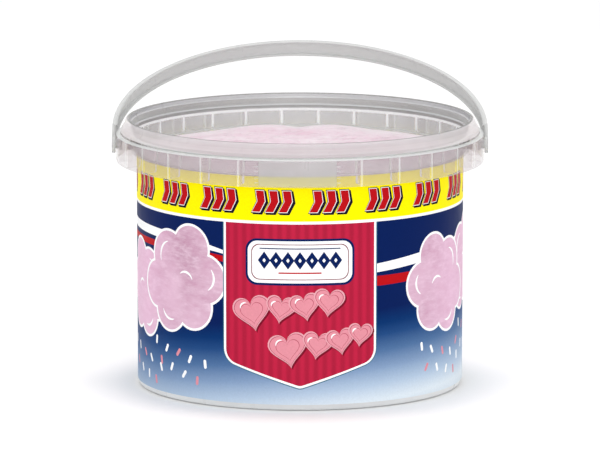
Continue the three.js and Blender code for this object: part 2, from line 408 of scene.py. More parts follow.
def smooth(mesh, crease=CREASE):
    """Shades a mesh smooth except at creases."""
    mesh.polygons.foreach_set("use_smooth", [True] * len(mesh.polygons))
    mesh.set_sharp_from_angle(angle=crease)


def make_piece(name, verts, faces, materials, slots=None, crease=CREASE):
    """New mesh object from faces that are wound outward."""
    mesh = bpy.data.meshes.new(name)
    mesh.from_pydata([tuple(v) for v in verts], [], [tuple(f) for f in faces])
    for material in materials:
        mesh.materials.append(material)
    if slots is not None:
        mesh.polygons.foreach_set("material_index", slots)
    smooth(mesh, crease)
    mesh.update()
    piece = bpy.data.objects.new(name, mesh)
    bpy.context.scene.collection.objects.link(piece)
    return piece


def filleted(corners, step=math.radians(18)):
    """Points of a profile with rounded corners; each corner is (radius, height, round)."""
    points = []
    count = len(corners)
    for index, (radius, height, rounding) in enumerate(corners):
        here = Vector((radius, height))
        if rounding == 0:
            points.append(here)
            continue
        back = Vector(corners[index - 1][:2]) - here
        ahead = Vector(corners[(index + 1) % count][:2]) - here
        opening = back.angle(ahead)
        reach = min(rounding / math.tan(opening / 2), 0.48 * back.length, 0.48 * ahead.length)
        rounding = reach * math.tan(opening / 2)
        start, end = here + back.normalized() * reach, here + ahead.normalized() * reach
        centre = here + (back.normalized() + ahead.normalized()).normalized() * (
            rounding / math.sin(opening / 2))
        turn = (start - centre).angle_signed(end - centre)
        steps = max(2, math.ceil(abs(turn) / step))
        first = math.atan2(start.y - centre.y, start.x - centre.x)
        for i in range(steps + 1):
            angle = first - turn * i / steps
            points.append(centre + Vector((math.cos(angle), math.sin(angle))) * rounding)
    return points


def turned(profile, facets, start=-180.0, end=180.0):
    """Turns a profile about Z. A full turn closes on itself; a part turn of a closed profile gets ends."""
    verts, faces, rings = [], [], []
    full = end - start >= 360
    columns = facets if full else facets + 1
    angles = [math.radians(FRONT + start + (end - start) * i / facets) for i in range(columns)]
    for radius, height in profile:
        if radius < 1e-7:
            rings.append([len(verts)] * columns)
            verts.append((0, 0, height))
        else:
            rings.append(list(range(len(verts), len(verts) + columns)))
            verts += [(radius * math.cos(a), radius * math.sin(a), height) for a in angles]
    loops = list(zip(rings, rings[1:]))
    if not full:
        loops.append((rings[-1], rings[0]))
    for low, high in loops:
        for i in range(facets):
            j = (i + 1) % columns
            corners = [low[i], low[j], high[j], high[i]]
            face = [c for k, c in enumerate(corners) if c not in corners[:k]]
            if len(face) > 2:
                faces.append(face)
    if not full:
        faces.append([ring[0] for ring in rings])
        faces.append([ring[-1] for ring in rings][::-1])
    return verts, faces


def joined(*parts):
    """Joins (verts, faces) parts into one, and says which part each face came from."""
    verts, faces, source = [], [], []
    for number, (part_verts, part_faces) in enumerate(parts):
        shift = len(verts)
        verts += list(part_verts)
        faces += [[v + shift for v in face] for face in part_faces]
        source += [number] * len(part_faces)
    return verts, faces, source


def slab(outline, thickness, bevel):
    """Plate of an [x, y] outline, centred on z = 0, with rounded edges. Returns verts and faces."""
    cut = bmesh.new()
    half = thickness / 2
    ring = [cut.verts.new((x, y, -half)) for x, y in outline]
    cut.faces.new(ring[::-1])
    grown = bmesh.ops.extrude_face_region(cut, geom=cut.faces[:])
    raised = [v for v in grown["geom"] if isinstance(v, bmesh.types.BMVert)]
    bmesh.ops.translate(cut, verts=raised, vec=(0, 0, thickness))
    bmesh.ops.recalc_face_normals(cut, faces=cut.faces[:])
    if bevel:
        bmesh.ops.bevel(cut, geom=cut.edges[:], offset=bevel, segments=2, affect="EDGES", profile=0.5)
    verts = [v.co.copy() for v in cut.verts]
    faces = [[v.index for v in face.verts] for face in cut.faces]
    cut.free()
    return verts, faces


def moved(part, move):
    """The part with each vertex sent through a function."""
    verts, faces = part
    return [move(Vector(v)) for v in verts], faces


def fused(piece, tools, how="UNION"):
    """Joins closed pieces into the first or cuts it by them, removes them, and welds what all but meets."""
    for tool in tools:
        before = len(piece.data.polygons)
        change = piece.modifiers.new("fuse", "BOOLEAN")
        change.operation = how
        change.solver = "MANIFOLD"
        change.object = tool
        graph = bpy.context.evaluated_depsgraph_get()
        result = bpy.data.meshes.new_from_object(piece.evaluated_get(graph))
        if len(result.polygons) == before:
            raise RuntimeError(f"{tool.name} didn't join {piece.name}")
        piece.modifiers.clear()
        old = piece.data
        piece.data = result
        bpy.data.meshes.remove(old)
        spare = tool.data
        bpy.data.objects.remove(tool)
        bpy.data.meshes.remove(spare)
    clean = bmesh.new()
    clean.from_mesh(piece.data)
    bmesh.ops.remove_doubles(clean, verts=clean.verts[:], dist=0.002 * MM)
    clean.to_mesh(piece.data)
    clean.free()
    smooth(piece.data)


# ------------------------------------------------------------------ tub

DECK_DROP = 9.2  # drops are millimetres down from the crest of the rim
STEP_DROP = 20.8  # foot of the step under the collar wall
PLATE = 1.2  # thickness of the deck and the skirt, in millimetres
TAB_START, TAB_END = -12.7, 11.2  # tear-off panel, degrees from the front
# The darker bands and the thin dark lines down the inside of the rim are painted shade; the white edge line
# at the foot is a painted highlight.
INNER_BANDS = [  # finishes down the inside of the rim, to so many millimetres under the crest
    (0.9, "painted_shade_line"), (2.3, "lip"), (3.0, "ledge"), (4.3, "band"), (6.5, "low_band"), (7.5, "ledge"),
    (8.9, "painted_shade_line"), (9.3, "ledge"), (10.8, "edge"),
]
CLEAR_BAND = (3.9, 7.3)  # clearer ring on the outside of the rim, millimetres under the crest
PIN, HOLE, PIN_HEAD = 2.7 * MM, 3.0 * MM, 3.9 * MM  # radii on the pivot line


def wall_radius(sizes, z):
    """Outside radius of the plain wall at a height."""
    foot, top = 4 * MM, sizes.height - STEP_DROP * MM
    return sizes.foot_radius + (sizes.shoulder_radius - sizes.foot_radius) * (z - foot) / (top - foot)


def skirt_foot(sizes):
    """Height of the skirt's lower edge."""
    return sizes.height - DECK_DROP * MM - sizes.skirt_height


def tub_profile(sizes):
    """Section of the tub from the middle of the base round to the middle of the floor."""
    crest, rim, flange = sizes.height / MM, sizes.crest_radius / MM, sizes.flange_radius / MM
    deck, skirt, hem = crest - DECK_DROP, sizes.skirt_radius / MM, skirt_foot(sizes) / MM
    collar, shoulder, foot = (
        radius / MM for radius in (sizes.collar_wall_radius, sizes.shoulder_radius, sizes.foot_radius))
    inside, wall, floor = collar - 1.3, sizes.wall / MM, 1.6
    corners = [  # radius, height, round
        (0, 0, 0),
        (9, 0, 0.2), (9.4, 0.35, 0.2), (10.6, 0.35, 0.2), (11, 0, 0.2),
        (84, 0, 0.3), (84.8, 0.8, 0.4), (87.2, 0.8, 0.4), (88, 0, 0.3),
        (foot - 0.01, 0, 2.8), (foot, 4.5, 0), (shoulder, crest - STEP_DROP, 0.4),
        (collar, crest - 20.4, 0.8), (collar, deck - PLATE, 0.5),
        (skirt - PLATE, deck - PLATE, 0.5), (skirt - PLATE, hem, 0.5), (skirt, hem, 0.8), (skirt, deck, 0.8),
        (flange + 0.5, deck + 0.1, 0.5), (flange + 0.3, deck + 1.3, 0),
        (flange, crest - 6, 2), (flange - 1.7, crest - 3.5, 0),
        (rim + 1.2, crest, 1.3), (rim - 1.1, crest, 0.6), (rim - 1.2, crest - 2.3, 0.3),
        (inside + 1.1, crest - 3.0, 0.5), (inside + 0.9, crest - 4.7, 0), (inside + 0.7, crest - 6.5, 0.3),
        (inside, crest - 7.2, 0.5), (inside, crest - 8.9, 0), (inside, crest - 9.3, 0),
        (inside, crest - 10.8, 0), (inside, crest - 19.3, 0.8),
        (shoulder + 0.1, crest - 19.56, 0), (shoulder - wall, crest - 19.7, 0.4),
        (foot - wall, floor, 3), (0, floor, 0),
    ]
    return filleted([(radius * MM, z * MM, rounding * MM) for radius, z, rounding in corners])


def rib_plate(sizes, angle):
    """Gusset between the collar wall and the skirt, at an angle from the front in degrees."""
    top, foot = sizes.height - 10.2 * MM, skirt_foot(sizes) + 0.7 * MM
    inside, outside = sizes.collar_wall_radius - 0.5 * MM, sizes.skirt_radius - 0.7 * MM
    cut = 0.8 * MM
    outline = [(inside, top), (inside, foot + cut), (inside + cut, foot), (outside, foot), (outside, top)]
    turn = math.radians(FRONT + angle)

    def stand(v):
        x = v.x * math.cos(turn) + v.z * math.sin(turn)
        y = v.x * math.sin(turn) - v.z * math.cos(turn)
        return Vector((x, y, v.y))

    return moved(slab(outline, 1.3 * MM, 0), stand)


def tear_off_panel(sizes):
    """Raised panel on the skirt, with short bridges across the cuts at its ends. Lists closed parts."""
    foot, top = skirt_foot(sizes) + 0.8 * MM, sizes.height - 10 * MM
    inner, outer, edge = sizes.skirt_radius - 0.6 * MM, sizes.skirt_radius + 0.68 * MM, 0.5 * MM
    panel = filleted([(inner, foot, 0), (outer, foot, edge), (outer, top, edge), (inner, top, 0)])
    parts = [turned(panel, 28, TAB_START, TAB_END)]
    reach = sizes.skirt_radius + 0.35 * MM
    for rise in (1.6, 4.4, 8.6, 11.4):
        low, high = foot + rise * MM, foot + (rise + 0.9) * MM
        bridge = [(inner, low), (reach, low + 0.2 * MM), (reach, high - 0.2 * MM), (inner, high)]
        parts.append(turned(bridge, 3, TAB_START - 1.3, TAB_START - 0.2))
        parts.append(turned(bridge, 3, TAB_END + 0.2, TAB_END + 1.3))
    return parts


def pivot_pin(radius, inner, outer, side):
    """Closed cylinder on the pivot line, from one distance to another."""
    facets = 48
    pin = turned([(0, inner), (radius, inner), (radius, outer), (0, outer)], facets)
    return moved(pin, lambda v: Vector((side * v.z, v.x * side, v.y)) + PIVOT)


def tub_zone(sizes, radius, z):
    """Name of the finish at a spot of the tub. The plastic is denser where it is thicker; the dark bands and
    lines in the rim and at its foot are painted shade, and the white lines at the deck's edge and inside the
    collar are painted highlights.
    """
    drop = (sizes.height - z) / MM
    if z < 4.4 * MM:
        return "base"
    # A painted highlight along the deck's outer edge.
    if DECK_DROP - 0.3 < drop < DECK_DROP + 0.5 and radius > sizes.flange_radius + 0.4 * MM:
        return "deck_edge_highlight"
    # Bands down the inside of the rim: the dark ones painted shade, the white edge line a painted highlight.
    if radius < sizes.crest_radius + 0.6 * MM:
        for foot, name in INNER_BANDS:
            if drop < foot:
                return name
        if radius < sizes.collar_wall_radius - 1.2 * MM and drop < 19.5:
            return "inner"
        if radius < sizes.shoulder_radius and drop < 20.3:
            return "shoulder"
    # A painted shade line in the crease at the foot of the sloping rim.
    if DECK_DROP - 1.4 < drop < DECK_DROP and radius > sizes.flange_radius - 1.0 * MM:
        return "rim_foot_shade"
    if drop < DECK_DROP - 0.2:
        return "clear_rim" if CLEAR_BAND[0] < drop < CLEAR_BAND[1] else "rim"
    if z > skirt_foot(sizes) - 0.5 * MM and radius > sizes.collar_wall_radius + 1.5 * MM:
        return "collar"
    return "wall"


def tub_finishes(sizes, colours):
    """Materials of the tub by zone."""
    lines_on_skirt = rib_lines(sizes, colours, 0.3 * MM, 0.34)
    lines_inside = rib_lines(sizes, colours, 0.65 * MM, 0.95, sizes.height - 18.9 * MM)
    zones = {  # tone, opacity, how much thicker a slanting look finds it at most, white lines
        "wall": (colours.milky, 0.18, 1.6),
        # The skirt tone's pinkish tint is a painted glow of the filling.
        "collar": (colours.skirt, 0.23, 1.3, lines_on_skirt),
        # The inside of the collar wall is toned darker than its outside: painted shade.
        "inner": (colours.inner, 0.26, 1.6, lines_inside),
        "shoulder": (colours.milky, 0.6, 1.6),
        # The white inner edge line is a painted highlight; the dark tones of the bands and the lines under
        # the crest are painted shade.
        "edge": (colours.edge, 0.93),
        # The deck's edge tone is a painted highlight.
        "deck_edge_highlight": (darker(colours.edge, 0.78), 0.5, 1.5),
        "lip": (colours.inner, 0.6),
        "ledge": (colours.inner, 0.58, 1.3),
        "band": (colours.painted_shade, 0.52, 1.3),
        # The rim foot's dark tone is painted shade in the crease.
        "rim_foot_shade": (colours.painted_shade, 0.24, 1.3),
        "low_band": (colours.painted_shade, 0.56, 1.3),
        "painted_shade_line": (colours.painted_shade, 0.66, 1.3),
        # The rim tone is a painted highlight with a pinkish painted glow of the filling.
        "rim": (colours.rim, 0.34, 1.3),
        "clear_rim": (colours.rim, 0.38, 1.3),
        "base": (colours.base, 0.8),
        "tab": (colours.milky, 0.5, 1.6),
        "bridge": (colours.edge, 0.3, 1.6),
        "rib": (colours.rim, 0.08),
    }
    return {zone: milky_plastic(f"tub_{zone}", *look) for zone, look in zones.items()}


def build_tub(sizes, colours):
    finishes = tub_finishes(sizes, colours)
    names, materials = list(finishes), list(finishes.values())
    wall = make_piece("tub_shell", *turned(tub_profile(sizes), sizes.rib_count * 12), materials)
    for face in wall.data.polygons:
        radius = math.hypot(face.center.x, face.center.y)
        face.material_index = names.index(tub_zone(sizes, radius, face.center.z))
    angles = [(k + 0.5) * 360 / sizes.rib_count - 180 for k in range(sizes.rib_count)]
    plates = [rib_plate(sizes, angle) for angle in angles if not TAB_START < angle < TAB_END]
    verts, faces, _ = joined(*plates)
    ribs = make_piece("ribs", verts, faces, materials, [names.index("rib")] * len(faces))
    # The ribs' inner edges take the whitest tone: edge-on plastic, with a painted highlight.
    for face in ribs.data.polygons:
        if math.hypot(face.center.x, face.center.y) < sizes.collar_wall_radius:
            face.material_index = names.index("edge")
    verts, faces, source = joined(*tear_off_panel(sizes))
    slots = [names.index("bridge" if part else "tab") for part in source]
    fused(wall, [ribs, make_piece("tab", verts, faces, materials, slots)])
    start, end = sizes.skirt_radius - 4.2 * MM, sizes.skirt_radius + 3 * MM
    holes = [make_piece("hole", *pivot_pin(HOLE, start, end, side), materials) for side in (-1, 1)]
    fused(wall, holes, "DIFFERENCE")
    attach(wall, "tub")
    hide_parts("tub")


# ------------------------------------------------------------------ label

def disc(x, z, radius):
    """Round outline in millimetres on the flat label."""
    corners = 44
    angles = [2 * math.pi * i / corners for i in range(corners)]
    return [(x + radius * math.cos(angle), z + radius * math.sin(angle)) for angle in angles]


def rounded_outline(corners):
    """Outline in millimetres whose corners are (x, z, round)."""
    return [(p.x, p.y) for p in filleted(corners, math.radians(9))]


def arc_stroke(x, z, radius, start, end, width):
    """Curved stroke with tapering ends, from one angle to another in degrees."""
    steps = 14
    outer, inner = [], []
    for i in range(steps + 1):
        angle = math.radians(start + (end - start) * i / steps)
        half = width / 2 * math.sin(math.pi * (0.08 + 0.84 * i / steps))
        for line, away in ((outer, radius + half), (inner, radius - half)):
            line.append((x + away * math.cos(angle), z + away * math.sin(angle)))
    return outer + inner[::-1]


def pennant(grow):
    """Pennant outline grown by an even border, in millimetres."""
    half, top, side_foot, point = 46.0, 130.0, 30.0, 15.0
    return rounded_outline([
        (-half - grow, top, 0), (-half - grow, side_foot - grow * 0.5, 9 + grow),
        (0, point - grow * 1.1, 5 + grow), (half + grow, side_foot - grow * 0.5, 9 + grow),
        (half + grow, top, 0),
    ])


CLOUDS = [  # middle x, middle z, scale, mirrored
    (-83, 75, 1.06, 1), (-123, 64, 0.92, -1), (104, 70, 0.98, -1), (142, 77, 0.9, 1),
    (-198, 70, 1.0, 1), (-244, 78, 0.86, -1), (206, 72, 1.0, -1), (250, 62, 0.86, 1),
]
CLOUD_DISCS = [  # x, z, radius of a cloud of scale 1
    (-20, -5, 13), (-8, 12, 15), (10, 19, 13), (20, 2, 14), (12, -14, 13), (-7, -17, 13), (0, 0, 16),
]
CLOUD_STROKES = [(-7, 12, 9, 100, 200), (19, 3, 8, -60, 40), (-6, -16, 8, 200, 290), (6, -1, 6, 20, 130)]
SPRINKLES = 9
CHEVRON_GROUPS = 18
SEAM = 0.5  # half of the open seam at the back, degrees
PAST_SEAM = 318  # distance from the front, in millimetres, that lies past the seam


def ribbon(side, bend, near_width, far_width):
    """Ribbon along the bend, from under the pennant round to the back seam, in millimetres.

    bend is four Bezier points (distance round the tub, height)."""
    steps, widening = 60, 0.45
    upper, lower = [], []
    for i, point in enumerate(interpolate_bezier(*(Vector(spot) for spot in bend), steps + 1)):
        half = (near_width + (far_width - near_width) * min(i / steps / widening, 1)) / 2
        upper.append((side * point.x, point.y + half))
        lower.append((side * point.x, point.y - half))
    return upper + lower[::-1]


def tilted(points, x, z, turn):
    """Outline turned about its own middle, then put in place."""
    c, s = math.cos(turn), math.sin(turn)
    return [(x + px * c - pz * s, z + px * s + pz * c) for px, pz in points]


def sprinkle(x, z, turn):
    """Short bar with round ends."""
    length, width = 5.6, 2.0
    half, end = length / 2 - width / 2, width / 2
    points = []
    for side in (1, -1):
        for i in range(7):
            angle = math.pi * (i / 6 - 0.5)
            points.append((side * (half + end * math.cos(angle)), side * end * math.sin(angle)))
    return tilted(points, x, z, turn)


def cloud_shapes(x, z, scale, flip, rng):
    """Heap of round puffs with a white edge, light curls and sprinkles that fall from it."""
    shapes = []
    for k in range(SPRINKLES):
        spot_x = x + (k - (SPRINKLES - 1) / 2) * 5.6 + rng.uniform(-1.2, 1.2)
        spot_z = z - 38 * scale - (k * 5 % SPRINKLES) * 2.4 + rng.uniform(-1, 1)
        ink = "puff" if k % 3 == 1 else "white"
        shapes.append((ink, sprinkle(spot_x, spot_z, rng.uniform(0.9, 2.2))))
    for ink, grow in (("white", 1.5), ("cloud", 0.0)):
        for dx, dz, radius in CLOUD_DISCS:
            shapes.append((ink, disc(x + flip * dx * scale, z + dz * scale, radius * scale + grow)))
    for dx, dz, radius, start, end in CLOUD_STROKES:
        if flip < 0:
            start, end = 180 - end, 180 - start
        shapes.append(("white", arc_stroke(
            x + flip * dx * scale, z + dz * scale, radius * scale, start, end, 1.5)))
    return shapes


def label_shapes(radius):
    """Flat shapes of the print from the ground up: (ink name, outline in millimetres)."""
    end = PAST_SEAM
    shapes = [
        ("white", ribbon(-1, [(40, 93.2), (70, 102), (100, 103), (end, 101.6)], 1.4, 5.4)),
        ("scarlet", ribbon(-1, [(40, 89.6), (62, 94.6), (92, 95.0), (end, 93.6)], 3.6, 3.8)),
        ("white", ribbon(1, [(40, 84.9), (70, 86.9), (150, 99), (end, 101.6)], 5.0, 6.6)),
        ("scarlet", ribbon(1, [(40, 77.6), (110, 77.4), (190, 92), (end, 93.6)], 6.2, 4.6)),
    ]
    rng = random.Random(5)
    for x, z, scale, flip in reversed(CLOUDS):
        shapes += cloud_shapes(x, z, scale, flip, rng)
    shapes += [("teal", pennant(2.0)), ("white", pennant(1.4)), ("crimson", pennant(0.0))]
    shapes += badge_shapes()
    shapes += heart_row([(-29, 59, 10.5, 12), (-11.5, 62, 8, -8), (3, 63.5, 8, 10), (17.5, 66, 8.2, -6)])
    shapes += heart_row([(-7, 37, 10.5, 10), (10.5, 40, 8, -8), (24.5, 42, 7.6, 8), (37, 45.5, 6.6, -6)])
    shapes.append(("yellow", [(-end, 115.6), (end, 115.6), (end, 150), (-end, 150)]))
    shapes.append(("white", [(-end, 113.9), (end, 113.9), (end, 115.6), (-end, 115.6)]))
    for k in range(CHEVRON_GROUPS):
        shapes += chevrons((k + 0.5 - CHEVRON_GROUPS / 2) * 2 * math.pi * radius / CHEVRON_GROUPS)
    return shapes


def badge_shapes():
    """Plain white plaque with a navy edge and a row of navy lozenges, in the upper pennant."""

    def plaque(half_x, half_z, rounding, z=90.8):
        corners = [(-half_x, -half_z), (half_x, -half_z), (half_x, half_z), (-half_x, half_z)]
        return rounded_outline([(x, z + rise, rounding) for x, rise in corners])

    def lozenge(x, z, half_x, half_z):
        return [(x - half_x, z), (x, z - half_z), (x + half_x, z), (x, z + half_z)]

    shapes = [
        ("navy", plaque(33.2, 14.2, 7.0)),
        ("white", plaque(31.8, 12.8, 6.0)),
        ("crimson_dark", plaque(29.6, 10.9, 5.0)),
        ("white", plaque(29.1, 10.4, 4.8)),
        ("navy", plaque(24.5, 0.35, 0.3, 99.0)),
        ("scarlet", plaque(13.0, 0.45, 0.4, 84.2)),
    ]
    for k in range(-3, 4):
        shapes.append(("navy", lozenge(k * 7.2, 91.8, 3.9, 5.4)))
        shapes.append(("white", lozenge(k * 7.2, 91.8, 1.0, 1.4)))
    return shapes


def heart(x, z, half, tilt):
    """Heart outline of a half width, turned by degrees."""
    points = []
    for i in range(48):
        t = 2 * math.pi * i / 48
        px = 16 * math.sin(t) ** 3
        pz = 13 * math.cos(t) - 5 * math.cos(2 * t) - 2 * math.cos(3 * t) - math.cos(4 * t) + 2
        points.append((px * half / 16, pz * half / 16))
    return tilted(points, x, z, math.radians(tilt))


def heart_row(hearts):
    """Row of pink hearts (x, z, half width, tilt), each with a pale border, a fine line and a shadow."""
    shapes = [("crimson_dark", heart(x + 0.9, z - 0.9, half + 1.5, tilt)) for x, z, half, tilt in hearts]
    for x, z, half, tilt in hearts:
        shapes += [
            ("puff_pale", heart(x, z, half + 1.4, tilt)),
            ("puff_line", heart(x, z, half + 0.5, tilt)),
            ("puff", heart(x, z, half + 0.1, tilt)),
            ("puff_line", heart(x, z, half * 0.66 + 0.35, tilt)),
            ("puff", heart(x, z, half * 0.66, tilt)),
            ("white", arc_stroke(x - half * 0.42, z + half * 0.3, half * 0.3, 80, 190, 1.0)),
        ]
    return shapes


def chevrons(x):
    """Three slanting red chevrons with a dark outline and shadow, on the yellow band."""
    foot, rise, nose, lean, width, pitch = 120.8, 13.6, 3.4, 2.4, 5.4, 8.2

    def chevron(left, grow, drop=0.0):
        right = left + width
        points = [
            (left - grow, foot - grow), (right + grow * 0.6, foot - grow),
            (right + nose + grow * 1.3, foot + rise / 2),
            (right + lean + grow * 0.6, foot + rise + grow), (left + lean - grow, foot + rise + grow),
            (left + nose - grow * 0.9, foot + rise / 2),
        ]
        return [(px + drop, pz - drop * 0.8) for px, pz in points]

    shapes = []
    lefts = [x + (k - 1) * pitch - (width + lean) / 2 for k in range(3)]
    for left in lefts:
        shapes += [("dark", chevron(left, 0.5, 1.0)), ("dark", chevron(left, 0.5))]
    for left in lefts:
        shapes += [("white", chevron(left, 0.0)), ("scarlet", chevron(left, -0.35))]
    return shapes


def printed_film(sizes):
    """Cuts the flat film along every printed edge. Returns flat points in mm, triangles and inks."""
    radius = sizes.shoulder_radius / MM
    half = math.radians(180 - SEAM) * radius
    low, high = sizes.label_bottom / MM, sizes.label_top / MM
    shapes = [("ground", [(-half, low), (half, low), (half, high), (-half, high)])] + label_shapes(radius)
    points, edges, outlines = [], [], []
    for _, outline in shapes:
        start = len(points)
        turns = sum(x * w - u * z for (x, z), (u, w) in zip(outline, outline[1:] + outline[:1]))
        outline = outline if turns > 0 else outline[::-1]
        points += [Vector((x, min(max(z, low - 5), high + 5))) for x, z in outline]
        outlines.append(list(range(start, len(points))))
    columns = 300
    for i in range(1, columns):
        x = -half + 2 * half * i / columns
        edges.append((len(points), len(points) + 1))
        points += [Vector((x, low)), Vector((x, high))]
    whole_film, near = 0, 1e-4
    flat, _, triangles, _, _, origins = delaunay_2d_cdt(points, edges, outlines, whole_film, near)
    kept, inks = [], []
    for triangle, owners in zip(triangles, origins):
        if 0 in owners:
            kept.append(triangle)
            inks.append(shapes[max(owners)][0])
    return flat, kept, inks


def label_inks(colours):
    """Materials of the print by ink name."""
    flat_inks = {
        "white": colours.white,
        "yellow": colours.yellow,
        "navy": colours.navy,
        "teal": shade("346C80"),
        "scarlet": colours.scarlet,
        "dark": colours.ink,
        "crimson_dark": shade("791128"),
        "puff": colours.puff,
        "puff_pale": shade("E2A4AE"),
        "puff_line": colours.puff_line,
    }
    inks = {name: film_print(f"ink_{name}", colour) for name, colour in flat_inks.items()}
    inks |= {"ground": label_ground(colours), "crimson": pennant_red(colours), "cloud": cloud_pink(colours)}
    return inks


def build_label(sizes, colours):
    materials = label_inks(colours)
    order = list(materials)
    flat, triangles, inks = printed_film(sizes)
    used = sorted({v for triangle in triangles for v in triangle})
    renumber = {old: new for new, old in enumerate(used)}
    film, reach = 0.6 * MM, 0.65 * MM

    def wrapped(v, depth):
        angle = math.radians(FRONT) + v.x * MM / sizes.shoulder_radius
        z = v.y * MM
        radius = wall_radius(sizes, z) + reach - depth
        return (radius * math.cos(angle), radius * math.sin(angle), z)

    verts = [wrapped(flat[v], depth) for depth in (0.0, film) for v in used]
    count = len(used)
    outer = [[renumber[v] for v in triangle] for triangle in triangles]
    edges = {(a, b) for face in outer for a, b in zip(face, face[1:] + face[:1])}
    inner = [[v + count for v in face[::-1]] for face in outer]
    sides = [[b, a, a + count, b + count] for a, b in edges if (b, a) not in edges]
    slots = [order.index(ink) for ink in inks] + [order.index("white")] * (len(inner) + len(sides))
    label = make_piece("label_film", verts, outer + inner + sides, list(materials.values()), slots)
    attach(label, "tub")
    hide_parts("label")


# ------------------------------------------------------------------ cotton candy

CANDY_HUMPS = [  # x, y, radius, rise in millimetres
    (-21, 87, 20, 2.2), (19, 86, 17, 2.3), (-1, 93, 8, -1.3), (-22, -34, 40, 1.2),
    (40, -12, 36, 1.1), (-62, 20, 34, 0.7), (8, -78, 28, -0.9),
]


def candy_top(sizes, x, y, reach):
    """Height of the filling's surface, with its waves and fluff."""
    z = sizes.candy_level
    for hx, hy, radius, rise in CANDY_HUMPS:
        away = math.hypot(x / MM - hx, y / MM - hy) / radius
        z += rise * MM * math.exp(-away * away)
    out = math.hypot(x, y) / reach
    edge = min(max((out - 0.7) / 0.3, 0), 1)
    z -= 1.0 * MM * edge * edge * (3 - 2 * edge)
    spot = Vector((x, y, 0)) / MM
    wave = noise.fractal(spot / 26, 0.9, 2.1, 5)
    swirl = spot + noise.noise_vector(spot / 45) * 22
    threads = noise.fractal(Vector((swirl.x / 13, swirl.y / 3.2, 7.3)), 0.8, 2.2, 4)
    cross = noise.fractal(Vector((swirl.x / 3.6, swirl.y / 15, 2.9)), 0.8, 2.2, 4)
    calm = 1 - 0.8 * edge
    return z + (0.75 * wave + 0.32 * threads + 0.26 * cross) * MM * calm


SWIRL_SEED = 4  # noise vectors start from the clock without one
WISPS = 420


def build_candy(sizes, colours):
    noise.seed_set(SWIRL_SEED)
    into_wall, floor = 0.15 * MM, 1.55 * MM
    inside = sizes.shoulder_radius - sizes.wall + into_wall
    foot_inside = sizes.foot_radius - sizes.wall + into_wall
    rings, rising, facets = 110, 10, 336
    *bottom, wall_top = filleted([
        (0, floor, 0), (foot_inside, floor, 3.1 * MM), (inside, sizes.height - 24 * MM, 0),
    ])
    profile = bottom + [bottom[-1].lerp(wall_top, (i + 1) / rising) for i in range(rising)]
    profile += [Vector((inside * ring / rings, sizes.height)) for ring in range(rings, -1, -1)]
    verts, faces = turned(profile, facets)
    shaped = []
    for x, y, z in verts:
        on_top = z > sizes.height - 1 * MM
        shaped.append((x, y, candy_top(sizes, x, y, inside) if on_top else z))
    candy = make_piece("candy_fluff", shaped, faces, [spun_sugar(colours)], crease=math.radians(50))
    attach(candy, "tub")
    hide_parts("cotton_candy")
    build_wisps(sizes, colours, inside)


def build_wisps(sizes, colours, inside):
    """Loose threads of sugar that lie on the surface and lift off it a little."""
    rng = random.Random(11)
    verts, faces = [], []
    steps, sides = 9, 3
    for _ in range(WISPS):
        radius = (inside - 10 * MM) * math.sqrt(rng.random())
        where = rng.uniform(0, 2 * math.pi)
        x, y = radius * math.cos(where), radius * math.sin(where)
        heading, curl = rng.uniform(0, 2 * math.pi), rng.uniform(-0.35, 0.35)
        length, lift = rng.uniform(5, 15) * MM, rng.uniform(0.2, 1.0) * MM
        thick = rng.uniform(0.05, 0.11) * MM
        start = len(verts)
        for i in range(steps + 1):
            t = i / steps
            z = candy_top(sizes, x, y, inside) + lift * math.sin(math.pi * t) - 0.05 * MM
            side = Vector((-math.sin(heading), math.cos(heading), 0))
            size = thick * (0.35 + 0.65 * math.sin(math.pi * (0.1 + 0.8 * t)))
            for k in range(sides):
                around = 2 * math.pi * k / sides
                verts.append(Vector((x, y, z)) + side * size * math.cos(around)
                             + Vector((0, 0, 1)) * size * math.sin(around))
            x += math.cos(heading) * length / steps
            y += math.sin(heading) * length / steps
            heading += curl
        for i in range(steps):
            for k in range(sides):
                a, b = start + i * sides + k, start + i * sides + (k + 1) % sides
                faces.append([a, b, b + sides, a + sides])
        faces.append([start + k for k in reversed(range(sides))])
        faces.append([start + steps * sides + k for k in range(sides)])
    wisps = make_piece("candy_wisps", verts, faces, [spun_sugar(colours, "sugar_thread")])
    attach(wisps, "tub")


# ------------------------------------------------------------------ handle

def lean_back(sizes):
    """Moves a point of the upright handle, pivot at the origin, to where it lies."""
    tilt = sizes.handle_lean

    def move(v):
        y = v.y * math.cos(tilt) + v.z * math.sin(tilt)
        z = -v.y * math.sin(tilt) + v.z * math.cos(tilt)
        return Vector((v.x, y, z)) + PIVOT

    return move


def handle_strap(sizes):
    """Arch of the handle: a channel with rounded edges, open towards the tub.

    Returns verts, faces, and for each face whether it is on a lip."""
    half, depth, wall = sizes.handle_width / 2, 3.1 * MM, 1.2 * MM
    section = filleted([
        (-half, 0, 0.9 * MM), (half, 0, 0.9 * MM), (half, depth, 0.45 * MM),
        (half - wall, depth, 0.45 * MM), (half - wall - 0.2 * MM, wall, 0.4 * MM),
        (wall + 0.2 * MM - half, wall, 0.4 * MM), (wall - half, depth, 0.45 * MM), (-half, depth, 0.45 * MM),
    ], math.radians(24))
    steps, count = 180, len(section)
    verts, faces, lips = [], [], []
    for i in range(steps + 1):
        angle = math.pi - math.pi * i / steps
        for across, inward in section:
            radius = sizes.handle_radius - inward
            rise = sizes.handle_leg + radius * math.sin(angle)
            verts.append(Vector((radius * math.cos(angle), across, rise)))
    for i in range(steps):
        for k in range(count):
            a, b = i * count + k, i * count + (k + 1) % count
            faces.append([a, a + count, b + count, b])
            lips.append(abs(section[k].x + section[(k + 1) % count].x) / 2 > half - wall - 0.1 * MM)
    faces.append(list(range(count)))
    faces.append([steps * count + k for k in reversed(range(count))])
    return verts, faces, lips + [False, False]


